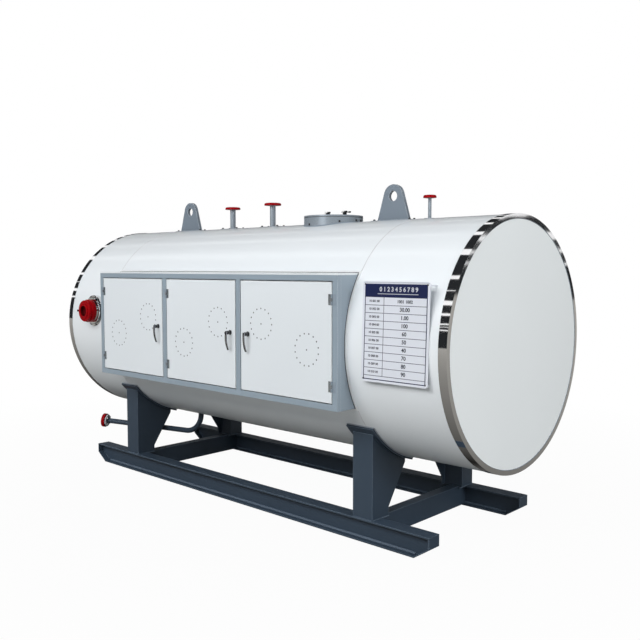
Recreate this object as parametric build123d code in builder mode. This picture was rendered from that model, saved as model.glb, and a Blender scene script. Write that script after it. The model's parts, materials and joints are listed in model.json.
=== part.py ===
from build123d import *
import os
from math import acos, atan2, cos, radians, sin, sqrt

os.makedirs("parts", exist_ok=True)

# Industrial boiler: a lying barrel on a skid, with a three-door cabinet along its front.
# +X runs along the barrel, -Y is the cabinet side, +Z is up. Lengths are millimetres.

# barrel
barrel_radius = 750
barrel_length = 3719
barrel_clearance = 300
shell_wall = 10
seam_bevel = 2
seam_right_overlap = 12
end_thick = 10
ring_sheet = 3
ring_band = 50
ring_lip = 26

# cabinet
cabinet_left_margin = 591.5
cabinet_drop = 368
cabinet_height = 777
cabinet_proud = 64
frame_depth = 30
frame_stile = 38
frame_mullion = 43
frame_rail_bottom = 36
frame_rail_top = 40
bay_width_shares = (383 / 1143, 369 / 1143, 391 / 1143)
panel_sheet = 4
trim_width = 14
trim_thick = 4

# doors
door_gap = 6
door_thick = 20
door_sheet = 2.5

# hinges
hinge_height = 62
hinge_high_z = 632
hinge_low_z = 138
leaf_width = 27
leaf_thick = 2
knuckle_radius = 4.5
pin_radius = 2.5
pin_clearance = 0.05
knuckle_gap = 0.5
knuckle_relief = 0.9

# handles
handle_z = 398
handle_backsets = (52, 55, 72)
shaft_radius = 8
shaft_clearance = 0.05
rose_radius = 16
rose_thick = 4
lever_reach = 38
lever_neck = 28
lever_top = 10
lever_drop = 112
lever_bow = 40
lever_bow_inner = 32
lever_bow_z = 50
lever_tip = 22
lever_tip_inner = 16
lever_tip_rise = 4
lever_width = 15
lever_round = 2.5
shaft_nut_radius = 13
shaft_nut_thick = 4
shaft_nut_gap = 1

# lifting lugs
lug_x_shares = (-0.6335, 0.5098)
lug_base = 254
lug_eye_height = 157
lug_round = 76
lug_hole_radius = 33
lug_thick = 25
lug_pad_length = 320
lug_pad_width = 90
pad_sheet = 3

# top pipes
top_pipe_x_shares = (-0.3485, -0.10325, 0.6604)
top_pipe_radius = (21.2, 21.2, 10.65)
top_pipe_height = (151, 159, 129)
top_pipe_wall = (3.6, 3.6, 2.6)
top_cap_radius = (59, 63, 41)
top_cap_thick = 17
top_cap_spigot = 12
top_cap_round = 9
collar_rim = 24

# cover on top
cover_x_share = 0.22587
neck_radius = 205
neck_wall = 8
neck_height = 38
cover_thick = 12
latch_offset = 78
latch_y = 25
latch_base_radius = 11
latch_base_height = 24
latch_bar_length = 46
latch_bar_width = 11
latch_bar_thick = 12

# side nozzle
nozzle_x_share = -0.79376
nozzle_rise = 102
nozzle_ring_radius = 122
nozzle_ring_thick = 12
nozzle_step_radius = 106
nozzle_neck_radius = 97
nozzle_hub_radius = 84
nozzle_step_thick = 11
nozzle_hub_thick = 10
nozzle_groove = 4
nozzle_edge = 3
side_cap_radius = 90
side_cap_body = 34
side_cap_groove_radius = 77
side_cap_groove = 7
side_cap_front_radius = 84
side_cap_front = 20
side_cap_rim_radius = 62
side_cap_rim = 6
side_cap_recess_radius = 43
side_cap_recess = 30
side_cap_round = 7
side_cap_rim_round = 3

# drain pipe
drain_radius = 21.2
drain_wall = 3.6
drain_bend = 150
drain_rise = 162
drain_riser_x_share = -0.47324
drain_leg_gap = 76
drain_run = 702
drain_run_yaw = 14.3
drain_outlet = 278
drain_outlet_yaw = 34
drain_outlet_climb = 5
drain_flange_radius = 50
drain_flange_thick = 14
drain_cap_radius = 57
drain_cap_front = 12
drain_cap_rim = 16
drain_cap_round = 6

# skid
skid_left_inset = 93.5
skid_right_inset = 224.5
skid_height = 138
skid_width = 100
skid_inset = 188
skid_flange = 9
skid_web = 8
skid_plate = 7
skid_bevel_run = 104
skid_bevel_rise = 69
beam_x_shares = (-0.6698, 0.62302)
beam_width = 73
beam_wall = 8

# legs and saddle pads
leg_x_shares = (-0.67868, 0.61683)
leg_width = 150
leg_inset = 12
leg_column_depth = 128
leg_foot_depth = 155
leg_foot_height = 49
leg_head_depth = 320
leg_wall = 10
saddle_thick = 16
saddle_width = 206
saddle_tip_angle = 14.5
saddle_end_angle = 49.5

# data plate
plate_inset = 106.9
plate_gap = 126.1
plate_width = 446.5
plate_rise = 68.2
plate_height = 550.5
plate_tilt = 2
plate_thick = 2
plate_clearance = 1
plate_corner = 14
plate_post_radius = 5
plate_post_inset = 16

# places that follow from the sizes above
half_length = barrel_length / 2
tube_half = half_length - end_thick
axis_height = skid_height + barrel_clearance + barrel_radius
barrel_top_z = axis_height + barrel_radius
cabinet_left_x = cabinet_left_margin - half_length
cabinet_right_x = half_length - plate_inset - plate_width - plate_gap
seam_left_x = cabinet_left_x
seam_right_x = cabinet_right_x + seam_right_overlap
bays_total = cabinet_right_x - cabinet_left_x - 2 * frame_stile - 2 * frame_mullion
bay_widths = [share * bays_total for share in bay_width_shares]
cabinet_face_y = -barrel_radius - cabinet_proud
cabinet_bottom_z = axis_height - cabinet_drop
cabinet_top_z = cabinet_bottom_z + cabinet_height
frame_back_y = cabinet_face_y + frame_depth
bay_low_z = cabinet_bottom_z + frame_rail_bottom
bay_height = cabinet_height - frame_rail_bottom - frame_rail_top
bay_left_x = [
    cabinet_left_x + frame_stile + index * frame_mullion + sum(bay_widths[:index])
    for index in range(len(bay_widths))
]
door_height = bay_height - 2 * door_gap
hinge_side = (-1, -1, 1)
door_names = ("left", "middle", "right")
lug_left_x, lug_right_x = [share * half_length for share in lug_x_shares]
top_pipe_x = [share * half_length for share in top_pipe_x_shares]
cover_x = cover_x_share * half_length
nozzle_x = nozzle_x_share * half_length
nozzle_z = axis_height + nozzle_rise
skid_left_x = skid_left_inset - half_length
skid_right_x = half_length - skid_right_inset
skid_outer_y = barrel_radius - skid_inset
skid_inner_y = skid_outer_y - skid_width
skid_pocket = (skid_width - skid_web) / 2
leg_left_x, leg_right_x = [share * half_length for share in leg_x_shares]
leg_outer_y = skid_outer_y - leg_inset
leg_column_y = leg_outer_y - leg_column_depth
leg_foot_y = leg_outer_y - leg_foot_depth
leg_tip_y = leg_outer_y - leg_head_depth
drain_z = skid_height + drain_rise
drain_riser_x = drain_riser_x_share * half_length
drain_riser_y = drain_leg_gap - leg_tip_y
drain_turn_x = drain_riser_x - drain_run * cos(radians(drain_run_yaw))
drain_turn_y = drain_riser_y - drain_run * sin(radians(drain_run_yaw))
drain_outlet_plan = drain_outlet * cos(radians(drain_outlet_climb))
drain_end_x = drain_turn_x - drain_outlet_plan * cos(radians(drain_outlet_yaw))
drain_end_y = drain_turn_y - drain_outlet_plan * sin(radians(drain_outlet_yaw))
drain_end_z = drain_z + drain_outlet * sin(radians(drain_outlet_climb))
plate_x = half_length - plate_inset - plate_width / 2
plate_normal = Vector(0, -cos(radians(plate_tilt)), sin(radians(plate_tilt)))
plate_upward = Vector(0, sin(radians(plate_tilt)), cos(radians(plate_tilt)))

pieces = []


def keep(part, name):
    part.label = name
    pieces.append(part)


def barrel_core(radius, mode=Mode.SUBTRACT):
    """The lying cylinder that pieces on the barrel are cut to."""
    with Locations((0, 0, axis_height)):
        Cylinder(radius=radius, height=2 * barrel_length, rotation=(0, 90, 0), mode=mode)


def block(x_low, x_high, y_low, y_high, z_low, z_high, mode=Mode.ADD):
    """A box given by its limits."""
    middle = ((x_low + x_high) / 2, (y_low + y_high) / 2, (z_low + z_high) / 2)
    with Locations(middle):
        Box(x_high - x_low, y_high - y_low, z_high - z_low, mode=mode)


def tube_section(x_low, x_high):
    """One length of the barrel's shell, with bevelled outer edges that draw the seams."""
    with BuildPart() as section:
        with BuildSketch(Plane.YZ.offset(x_low)):
            with Locations((0, axis_height)):
                Circle(barrel_radius)
                Circle(barrel_radius - shell_wall, mode=Mode.SUBTRACT)
        extrude(amount=x_high - x_low)
        rims = section.edges().filter_by(GeomType.CIRCLE).group_by(SortBy.RADIUS)[-1]
        chamfer(rims, length=seam_bevel)
    return section.part


def curved_sheet(x_low, x_high, thick):
    """A full sleeve on the barrel, to be trimmed to a pad or plate."""
    with Locations(((x_low + x_high) / 2, 0, axis_height)):
        Cylinder(radius=barrel_radius + thick, height=x_high - x_low, rotation=(0, 90, 0))
    barrel_core(barrel_radius)


# barrel shell in three lengths
keep(tube_section(-tube_half, seam_left_x), "barrel_shell_left")
keep(tube_section(seam_left_x, seam_right_x), "barrel_shell_middle")
keep(tube_section(seam_right_x, tube_half), "barrel_shell_right")

# flat ends and their polished rings
for side, name in ((-1, "left"), (1, "right")):
    with BuildPart() as end_plate:
        with BuildSketch(Plane.YZ.offset(side * tube_half)):
            with Locations((0, axis_height)):
                Circle(barrel_radius)
        extrude(amount=side * end_thick)
    keep(end_plate.part, "end_plate_" + name)

    with BuildPart() as end_ring:
        with BuildSketch(Plane.YZ.offset(side * (half_length - ring_band))):
            with Locations((0, axis_height)):
                Circle(barrel_radius + ring_sheet)
                Circle(barrel_radius, mode=Mode.SUBTRACT)
        extrude(amount=side * ring_band)
        with BuildSketch(Plane.YZ.offset(side * half_length)):
            with Locations((0, axis_height)):
                Circle(barrel_radius + ring_sheet)
                Circle(barrel_radius - ring_lip, mode=Mode.SUBTRACT)
        extrude(amount=side * ring_sheet)
    keep(end_ring.part, "end_ring_" + name)

# cabinet: face frame with three bays
with BuildPart() as cabinet_frame:
    block(
        cabinet_left_x,
        cabinet_right_x,
        cabinet_face_y,
        frame_back_y,
        cabinet_bottom_z,
        cabinet_top_z,
    )
    for left_x, width in zip(bay_left_x, bay_widths):
        block(
            left_x,
            left_x + width,
            cabinet_face_y,
            frame_back_y,
            bay_low_z,
            bay_low_z + bay_height,
            mode=Mode.SUBTRACT,
        )
keep(cabinet_frame.part, "cabinet_frame")

# cabinet: sheets from the frame back to the barrel
for name, low_z in (("bottom", cabinet_bottom_z), ("top", cabinet_top_z - panel_sheet)):
    with BuildPart() as cabinet_sheet:
        block(cabinet_left_x, cabinet_right_x, frame_back_y, 0, low_z, low_z + panel_sheet)
        barrel_core(barrel_radius)
    keep(cabinet_sheet.part, "cabinet_" + name)

for name, low_x in (("left", cabinet_left_x), ("right", cabinet_right_x - panel_sheet)):
    with BuildPart() as cabinet_sheet:
        block(
            low_x,
            low_x + panel_sheet,
            frame_back_y,
            0,
            cabinet_bottom_z + panel_sheet,
            cabinet_top_z - panel_sheet,
        )
        barrel_core(barrel_radius)
    keep(cabinet_sheet.part, "cabinet_side_" + name)

# cabinet: trim strip where the sheets meet the barrel
with BuildPart() as cabinet_trim:
    curved_sheet(cabinet_left_x - trim_width, cabinet_right_x + trim_width, trim_thick)
    block(
        cabinet_left_x - trim_width,
        cabinet_right_x + trim_width,
        -2 * barrel_radius,
        0,
        cabinet_bottom_z - trim_width,
        cabinet_top_z + trim_width,
        mode=Mode.INTERSECT,
    )
    block(
        cabinet_left_x,
        cabinet_right_x,
        -2 * barrel_radius,
        0,
        cabinet_bottom_z,
        cabinet_top_z,
        mode=Mode.SUBTRACT,
    )
keep(cabinet_trim.part, "cabinet_trim")

# doors, hinges and handles
hinge_levels = (cabinet_bottom_z + hinge_low_z, cabinet_bottom_z + hinge_high_z)
hinge_axis_y = cabinet_face_y - knuckle_radius
handle_level = cabinet_bottom_z + handle_z
knuckle_length = hinge_height / 3
hinge_axes_x = []
handle_axes_x = []
for left_x, width, side, backset in zip(bay_left_x, bay_widths, hinge_side, handle_backsets):
    middle_x = left_x + width / 2
    hinge_axes_x.append(middle_x + side * (width / 2 - door_gap / 2))
    handle_axes_x.append(middle_x - side * (width / 2 - backset))

for index, name in enumerate(door_names):
    door_left_x = bay_left_x[index] + door_gap
    door_right_x = door_left_x + bay_widths[index] - 2 * door_gap
    door_low_z = bay_low_z + door_gap
    shaft_x = handle_axes_x[index]
    with BuildPart() as door:
        block(
            door_left_x,
            door_right_x,
            cabinet_face_y,
            cabinet_face_y + door_thick,
            door_low_z,
            door_low_z + door_height,
        )
        block(
            door_left_x + door_sheet,
            door_right_x - door_sheet,
            cabinet_face_y + door_sheet,
            cabinet_face_y + door_thick,
            door_low_z + door_sheet,
            door_low_z + door_height - door_sheet,
            mode=Mode.SUBTRACT,
        )
        with Locations((shaft_x, cabinet_face_y, handle_level)):
            Cylinder(
                radius=shaft_radius + shaft_clearance,
                height=2 * door_thick,
                rotation=(90, 0, 0),
                mode=Mode.SUBTRACT,
            )
    keep(door.part, "door_" + name)

    with BuildPart() as rose:
        with BuildSketch(Plane.XZ.offset(-cabinet_face_y)):
            with Locations((shaft_x, handle_level)):
                Circle(rose_radius)
                Circle(shaft_radius + shaft_clearance, mode=Mode.SUBTRACT)
        extrude(amount=rose_thick)
    keep(rose.part, "handle_rose_" + name)

    with BuildPart() as lever:
        with BuildSketch(Plane.YZ.offset(shaft_x - lever_width / 2)):
            with BuildLine(mode=Mode.ADD):
                outer_top = (cabinet_face_y - lever_reach, handle_level + lever_top)
                outer_bow = (cabinet_face_y - lever_bow, handle_level - lever_bow_z)
                outer_tip = (cabinet_face_y - lever_tip, handle_level - lever_drop)
                inner_tip = (
                    cabinet_face_y - lever_tip_inner,
                    handle_level - lever_drop + lever_tip_rise,
                )
                inner_bow = (cabinet_face_y - lever_bow_inner, handle_level - lever_bow_z)
                inner_top = (cabinet_face_y - lever_neck, handle_level + lever_top)
                ThreePointArc(outer_top, outer_bow, outer_tip)
                Line(outer_tip, inner_tip)
                ThreePointArc(inner_tip, inner_bow, inner_top)
                Line(inner_top, outer_top)
            make_face()
        extrude(amount=lever_width)
        fillet(lever.edges().filter_by(GeomType.CIRCLE), radius=lever_round)
        with BuildSketch(Plane.XZ.offset(-cabinet_face_y)):
            with Locations((shaft_x, handle_level)):
                Circle(shaft_radius)
        extrude(amount=(lever_reach + lever_neck) / 2)
        with BuildSketch(Plane.XZ.offset(-cabinet_face_y)):
            with Locations((shaft_x, handle_level)):
                Circle(shaft_radius)
        extrude(amount=-door_sheet - shaft_nut_gap)
        with BuildSketch(Plane.XZ.offset(-cabinet_face_y - door_sheet - shaft_nut_gap)):
            with Locations((shaft_x, handle_level)):
                Circle(shaft_nut_radius)
        extrude(amount=-shaft_nut_thick)
    keep(lever.part, "handle_lever_" + name)

with BuildPart() as fixed_leaves:
    for axis_x, side in zip(hinge_axes_x, hinge_side):
        for level in hinge_levels:
            near_x = axis_x + side * (knuckle_radius + knuckle_relief)
            far_x = axis_x + side * leaf_width
            low_z = level - hinge_height / 2
            block(
                min(near_x, far_x),
                max(near_x, far_x),
                cabinet_face_y - leaf_thick,
                cabinet_face_y,
                low_z,
                low_z + hinge_height,
            )
            for tab_z in (low_z, low_z + 2 * knuckle_length):
                block(
                    min(axis_x, near_x),
                    max(axis_x, near_x),
                    cabinet_face_y - leaf_thick,
                    cabinet_face_y,
                    tab_z,
                    tab_z + knuckle_length,
                )
                with Locations((axis_x, hinge_axis_y, tab_z + knuckle_length / 2)):
                    Cylinder(radius=knuckle_radius, height=knuckle_length)
            with Locations((axis_x, hinge_axis_y, level)):
                Cylinder(radius=pin_radius, height=hinge_height)
keep(fixed_leaves.part, "hinge_leaves_frame")

for index, name in enumerate(door_names):
    axis_x = hinge_axes_x[index]
    side = hinge_side[index]
    with BuildPart() as door_leaves:
        for level in hinge_levels:
            near_x = axis_x - side * (knuckle_radius + knuckle_relief)
            far_x = axis_x - side * leaf_width
            low_z = level - hinge_height / 2
            tab_z = low_z + knuckle_length + knuckle_gap
            tab_height = knuckle_length - 2 * knuckle_gap
            block(
                min(near_x, far_x),
                max(near_x, far_x),
                cabinet_face_y - leaf_thick,
                cabinet_face_y,
                low_z,
                low_z + hinge_height,
            )
            block(
                min(axis_x, near_x),
                max(axis_x, near_x),
                cabinet_face_y - leaf_thick,
                cabinet_face_y,
                tab_z,
                tab_z + tab_height,
            )
            with Locations((axis_x, hinge_axis_y, level)):
                Cylinder(radius=knuckle_radius, height=tab_height)
                Cylinder(
                    radius=pin_radius + pin_clearance,
                    height=hinge_height,
                    mode=Mode.SUBTRACT,
                )
    keep(door_leaves.part, "hinge_leaves_" + name)

# lifting lugs on curved pads
lug_lean = atan2(-lug_eye_height, lug_base / 2)
lug_lean = lug_lean + acos(lug_round / sqrt(lug_eye_height**2 + (lug_base / 2) ** 2))
for name, lug_x in (("left", lug_left_x), ("right", lug_right_x)):
    touch_x = lug_round * cos(lug_lean)
    touch_z = barrel_top_z + lug_eye_height + lug_round * sin(lug_lean)
    eye_z = barrel_top_z + lug_eye_height
    with BuildPart() as lug:
        with BuildSketch(Plane.XZ.offset(-lug_thick / 2)):
            with BuildLine():
                Polyline(
                    (lug_x - touch_x, touch_z),
                    (lug_x - lug_base / 2, barrel_top_z),
                    (lug_x + lug_base / 2, barrel_top_z),
                    (lug_x + touch_x, touch_z),
                )
                ThreePointArc(
                    (lug_x + touch_x, touch_z),
                    (lug_x, eye_z + lug_round),
                    (lug_x - touch_x, touch_z),
                )
            make_face()
            with Locations((lug_x, eye_z)):
                Circle(lug_hole_radius, mode=Mode.SUBTRACT)
        extrude(amount=lug_thick)
        barrel_core(barrel_radius + pad_sheet)
    keep(lug.part, "lifting_lug_" + name)

with BuildPart() as lug_pads:
    curved_sheet(lug_left_x - lug_pad_length / 2, lug_right_x + lug_pad_length / 2, pad_sheet)
    block(
        -barrel_length,
        barrel_length,
        -lug_pad_width / 2,
        lug_pad_width / 2,
        axis_height,
        2 * barrel_top_z,
        mode=Mode.INTERSECT,
    )
    block(
        lug_left_x + lug_pad_length / 2,
        lug_right_x - lug_pad_length / 2,
        -barrel_radius,
        barrel_radius,
        axis_height,
        2 * barrel_top_z,
        mode=Mode.SUBTRACT,
    )
keep(lug_pads.part, "lug_pads")

# top pipes, their flashing collars and caps
with BuildPart() as top_pipes:
    for pipe_x, radius, wall, height in zip(
        top_pipe_x, top_pipe_radius, top_pipe_wall, top_pipe_height
    ):
        with BuildSketch(Plane.XY.offset(axis_height)):
            with Locations((pipe_x, 0)):
                Circle(radius)
                Circle(radius - wall, mode=Mode.SUBTRACT)
        extrude(amount=barrel_radius + height)
    barrel_core(barrel_radius)
keep(top_pipes.part, "top_pipes")

with BuildPart() as pipe_collars:
    for pipe_x, radius in zip(top_pipe_x, top_pipe_radius):
        with BuildSketch(Plane.XY.offset(axis_height)):
            with Locations((pipe_x, 0)):
                Circle(radius + collar_rim)
                Circle(radius, mode=Mode.SUBTRACT)
        extrude(amount=2 * barrel_radius)
    barrel_core(barrel_radius + pad_sheet, mode=Mode.INTERSECT)
    barrel_core(barrel_radius)
keep(pipe_collars.part, "pipe_collars")

for name, pipe_x, radius, wall, height, cap_radius in zip(
    door_names, top_pipe_x, top_pipe_radius, top_pipe_wall, top_pipe_height, top_cap_radius
):
    with BuildPart() as top_cap:
        with BuildSketch(Plane.XY.offset(barrel_top_z + height)):
            with Locations((pipe_x, 0)):
                Circle(cap_radius)
        extrude(amount=top_cap_thick)
        fillet(top_cap.edges().group_by(Axis.Z)[-1], radius=top_cap_round)
        with BuildSketch(Plane.XY.offset(barrel_top_z + height)):
            with Locations((pipe_x, 0)):
                Circle(radius - wall)
        extrude(amount=-top_cap_spigot)
    keep(top_cap.part, "top_cap_" + name)

# round cover on top, with two latches
neck_top_z = barrel_top_z + neck_height
cover_top_z = neck_top_z + cover_thick
with BuildPart() as cover_neck:
    with BuildSketch(Plane.XY.offset(axis_height)):
        with Locations((cover_x, 0)):
            Circle(neck_radius)
            Circle(neck_radius - neck_wall, mode=Mode.SUBTRACT)
    extrude(amount=neck_top_z - axis_height)
    barrel_core(barrel_radius)
keep(cover_neck.part, "cover_neck")

with BuildPart() as cover:
    with BuildSketch(Plane.XY.offset(neck_top_z)):
        with Locations((cover_x, 0)):
            Circle(neck_radius)
    extrude(amount=cover_thick)
keep(cover.part, "cover")

with BuildPart() as cover_latches:
    for side in (-1, 1):
        latch_x = cover_x + side * latch_offset
        with BuildSketch(Plane.XY.offset(cover_top_z)):
            with Locations((latch_x, latch_y)):
                Circle(latch_base_radius)
        extrude(amount=latch_base_height)
        block(
            latch_x - latch_bar_length / 2,
            latch_x + latch_bar_length / 2,
            latch_y - latch_bar_width / 2,
            latch_y + latch_bar_width / 2,
            cover_top_z + latch_base_height,
            cover_top_z + latch_base_height + latch_bar_thick,
        )
keep(cover_latches.part, "cover_latches")

# side nozzle: stepped ring against the barrel, and its cap
nozzle_base = sqrt(barrel_radius**2 - (nozzle_z - axis_height) ** 2)
ring_front = barrel_radius + nozzle_ring_thick - (barrel_radius - nozzle_base)
step_front = ring_front + nozzle_groove + nozzle_step_thick
hub_front = step_front + nozzle_hub_thick
with BuildPart() as nozzle_ring:
    with BuildSketch(Plane.XY):
        with BuildLine():
            Polyline(
                (0, 0),
                (nozzle_ring_radius, 0),
                (nozzle_ring_radius, ring_front - nozzle_edge),
                (nozzle_ring_radius - nozzle_edge, ring_front),
                (nozzle_neck_radius, ring_front),
                (nozzle_neck_radius, ring_front + nozzle_groove),
                (nozzle_step_radius, ring_front + nozzle_groove + nozzle_edge),
                (nozzle_step_radius, step_front - nozzle_edge),
                (nozzle_step_radius - nozzle_edge, step_front),
                (nozzle_hub_radius, step_front),
                (nozzle_hub_radius, hub_front),
                (0, hub_front),
                close=True,
            )
        make_face()
    revolve(axis=Axis.Y)
placed_ring = nozzle_ring.part.mirror(Plane.XZ).moved(Location((nozzle_x, 0, nozzle_z)))
with BuildPart() as side_nozzle:
    add(placed_ring)
    barrel_core(barrel_radius)
keep(side_nozzle.part, "side_nozzle")

cap_step = hub_front + side_cap_body
groove_end = cap_step + side_cap_groove
cap_front = groove_end + side_cap_front
rim_front = cap_front + side_cap_rim
with BuildPart() as side_cap:
    with BuildSketch(Plane.XY) as cap_profile:
        with BuildLine():
            Polyline(
                (0, hub_front),
                (side_cap_radius, hub_front),
                (side_cap_radius, cap_step),
                (side_cap_groove_radius, cap_step),
                (side_cap_groove_radius, groove_end),
                (side_cap_front_radius, groove_end),
                (side_cap_front_radius, cap_front),
                (side_cap_rim_radius, cap_front),
                (side_cap_rim_radius, rim_front),
                (side_cap_recess_radius, rim_front),
                (side_cap_recess_radius, rim_front - side_cap_recess),
                (0, rim_front - side_cap_recess),
                close=True,
            )
        make_face()
        rounded = (
            (side_cap_radius, cap_step, side_cap_round),
            (side_cap_front_radius, cap_front, side_cap_round),
            (side_cap_rim_radius, rim_front, side_cap_rim_round),
        )
        for corner_radius, corner_depth, round_radius in rounded:
            spot = Vector(corner_radius, corner_depth, 0)
            fillet(cap_profile.vertices().sort_by_distance(spot)[0], radius=round_radius)
    revolve(axis=Axis.Y)
placed_cap = side_cap.part.mirror(Plane.XZ).moved(Location((nozzle_x, 0, nozzle_z)))
keep(placed_cap, "side_nozzle_cap")

# drain pipe: turned-out outlet, slanting run, long bend up into the barrel's underside
drain_start = Vector(drain_end_x, drain_end_y, drain_end_z)
drain_turn = Vector(drain_turn_x, drain_turn_y, drain_z)
drain_corner = Vector(drain_riser_x, drain_riser_y, drain_z)
drain_top = Vector(drain_riser_x, drain_riser_y, axis_height - barrel_radius / 2)
drain_way = (drain_turn - drain_start).normalized()
with BuildPart() as drain_pipe:
    with BuildLine() as drain_path:
        FilletPolyline(drain_start, drain_turn, drain_corner, drain_top, radius=drain_bend)
    with BuildSketch(Plane(origin=drain_start, z_dir=drain_way)):
        Circle(drain_radius)
        Circle(drain_radius - drain_wall, mode=Mode.SUBTRACT)
    sweep(path=drain_path.line)
    with BuildSketch(Plane(origin=drain_start, z_dir=drain_way)):
        Circle(drain_flange_radius)
        Circle(drain_radius - drain_wall, mode=Mode.SUBTRACT)
    extrude(amount=drain_flange_thick)
    barrel_core(barrel_radius)
keep(drain_pipe.part, "drain_pipe")

with BuildPart() as drain_cap:
    with BuildSketch(Plane(origin=drain_start, z_dir=drain_way)):
        Circle(drain_cap_radius)
        Circle(drain_flange_radius, mode=Mode.SUBTRACT)
    extrude(amount=drain_cap_rim)
    with BuildSketch(Plane(origin=drain_start, z_dir=drain_way)):
        Circle(drain_cap_radius)
    extrude(amount=-drain_cap_front)
    outer_rims = drain_cap.edges().filter_by(GeomType.CIRCLE).group_by(SortBy.RADIUS)[-1]
    fillet(outer_rims.sort_by(Axis.X)[0], radius=drain_cap_round)
keep(drain_cap.part, "drain_cap")


def skid_outline(inset_side, inset_low, inset_high):
    """Corners of a skid's side outline in XZ, with bevelled lower ends."""
    left = skid_left_x + inset_side
    right = skid_right_x - inset_side
    return [
        (left, skid_height - inset_high),
        (left, skid_bevel_rise),
        (left + skid_bevel_run - inset_low, inset_low),
        (right - skid_bevel_run + inset_low, inset_low),
        (right, skid_bevel_rise),
        (right, skid_height - inset_high),
    ]


# skid: two girders with a pocket on each side, two box beams that run into the pockets
with BuildPart() as skid_front:
    with BuildSketch(Plane.XZ.offset(skid_inner_y)):
        with BuildLine():
            Polyline(*skid_outline(0, 0, 0), close=True)
        make_face()
    extrude(amount=skid_width)
    for pocket_y in (skid_inner_y, skid_outer_y - skid_pocket):
        with BuildSketch(Plane.XZ.offset(pocket_y)):
            with BuildLine():
                Polyline(*skid_outline(skid_plate, skid_flange, skid_flange), close=True)
            make_face()
        extrude(amount=skid_pocket, mode=Mode.SUBTRACT)
keep(skid_front.part, "skid_front")
keep(skid_front.part.mirror(Plane.XZ), "skid_rear")

beam_end_y = skid_inner_y + skid_pocket
for name, beam_x_share in zip(("left", "right"), beam_x_shares):
    beam_left = beam_x_share * half_length - beam_width / 2
    beam_right = beam_left + beam_width
    with BuildPart() as cross_beam:
        block(beam_left, beam_right, -skid_inner_y, skid_inner_y, 0, skid_height)
        block(
            beam_left,
            beam_right,
            -beam_end_y,
            beam_end_y,
            skid_flange,
            skid_height - skid_flange,
        )
        block(
            beam_left + beam_wall,
            beam_right - beam_wall,
            -beam_end_y,
            beam_end_y,
            skid_flange + beam_wall,
            skid_height - skid_flange - beam_wall,
            mode=Mode.SUBTRACT,
        )
    keep(cross_beam.part, "cross_beam_" + name)

# legs: a box column with a tapered plate flush with one side, cut to the saddle pads
for name, leg_x in (("left", leg_left_x), ("right", leg_right_x)):
    leg_low_x = leg_x - leg_width / 2
    leg_high_x = leg_x + leg_width / 2
    with BuildPart() as leg:
        block(leg_low_x, leg_high_x, -leg_outer_y, -leg_column_y, skid_height, axis_height)
        block(
            leg_low_x + leg_wall,
            leg_high_x - leg_wall,
            -leg_outer_y + leg_wall,
            -leg_column_y - leg_wall,
            skid_height,
            axis_height,
            mode=Mode.SUBTRACT,
        )
        with BuildSketch(Plane.YZ.offset(leg_high_x - leg_wall)):
            with BuildLine():
                Polyline(
                    (-leg_column_y, skid_height),
                    (-leg_foot_y, skid_height),
                    (-leg_foot_y, skid_height + leg_foot_height),
                    (-leg_tip_y, axis_height - barrel_radius),
                    (-leg_tip_y, axis_height),
                    (-leg_column_y, axis_height),
                    close=True,
                )
            make_face()
        extrude(amount=leg_wall)
        barrel_core(barrel_radius + saddle_thick)
    keep(leg.part, "leg_front_" + name)
    turning_axis = Axis((leg_x, 0, 0), (0, 0, 1))
    keep(leg.part.rotate(turning_axis, 180), "leg_rear_" + name)


def saddle_corner(radius, angle):
    """A corner of a front saddle pad's profile, by radius and angle from the barrel's lowest line."""
    return (-radius * sin(radians(angle)), axis_height - radius * cos(radians(angle)))


saddle_outer = barrel_radius + saddle_thick
saddle_middle_angle = (saddle_tip_angle + saddle_end_angle) / 2
with BuildPart() as saddle_pads:
    for leg_x in (leg_left_x, leg_right_x):
        with BuildSketch(Plane.YZ.offset(leg_x - saddle_width / 2)):
            with BuildLine():
                ThreePointArc(
                    saddle_corner(saddle_outer, saddle_tip_angle),
                    saddle_corner(saddle_outer, saddle_middle_angle),
                    saddle_corner(saddle_outer, saddle_end_angle),
                )
                Line(
                    saddle_corner(saddle_outer, saddle_end_angle),
                    saddle_corner(barrel_radius, saddle_end_angle),
                )
                ThreePointArc(
                    saddle_corner(barrel_radius, saddle_end_angle),
                    saddle_corner(barrel_radius, saddle_middle_angle),
                    saddle_corner(barrel_radius, saddle_tip_angle),
                )
                Line(
                    saddle_corner(barrel_radius, saddle_tip_angle),
                    saddle_corner(saddle_outer, saddle_tip_angle),
                )
            make_face()
        extrude(amount=saddle_width)
    mirror(about=Plane.XZ)
keep(saddle_pads.part, "saddle_pads")

# flat data plate on four posts that stand on the barrel
plate_middle = (
    Vector(plate_x, 0, axis_height)
    + plate_normal * (barrel_radius + plate_clearance)
    + plate_upward * plate_rise
)
plate_back = Plane(origin=plate_middle, x_dir=(1, 0, 0), z_dir=plate_normal)
with BuildPart() as data_plate:
    with BuildSketch(plate_back):
        RectangleRounded(plate_width, plate_height, plate_corner)
    extrude(amount=plate_thick)
    with BuildSketch(plate_back):
        with GridLocations(
            plate_width - 2 * plate_post_inset,
            plate_height - 2 * plate_post_inset,
            2,
            2,
        ):
            Circle(plate_post_radius)
    extrude(amount=-plate_height / 2)
    barrel_core(barrel_radius)
keep(data_plate.part, "data_plate")

# the origin lies on the floor, at the middle of the whole boiler's plan
boxes = [piece.bounding_box() for piece in pieces]
low_x = min(box.min.X for box in boxes)
high_x = max(box.max.X for box in boxes)
low_y = min(box.min.Y for box in boxes)
high_y = max(box.max.Y for box in boxes)
shift_x = -(low_x + high_x) / 2
shift_y = -(low_y + high_y) / 2
for piece in pieces:
    placed = piece.moved(Location((shift_x, shift_y, 0)))
    placed.label = piece.label
    export_step(placed, "parts/" + placed.label + ".step")

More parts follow.
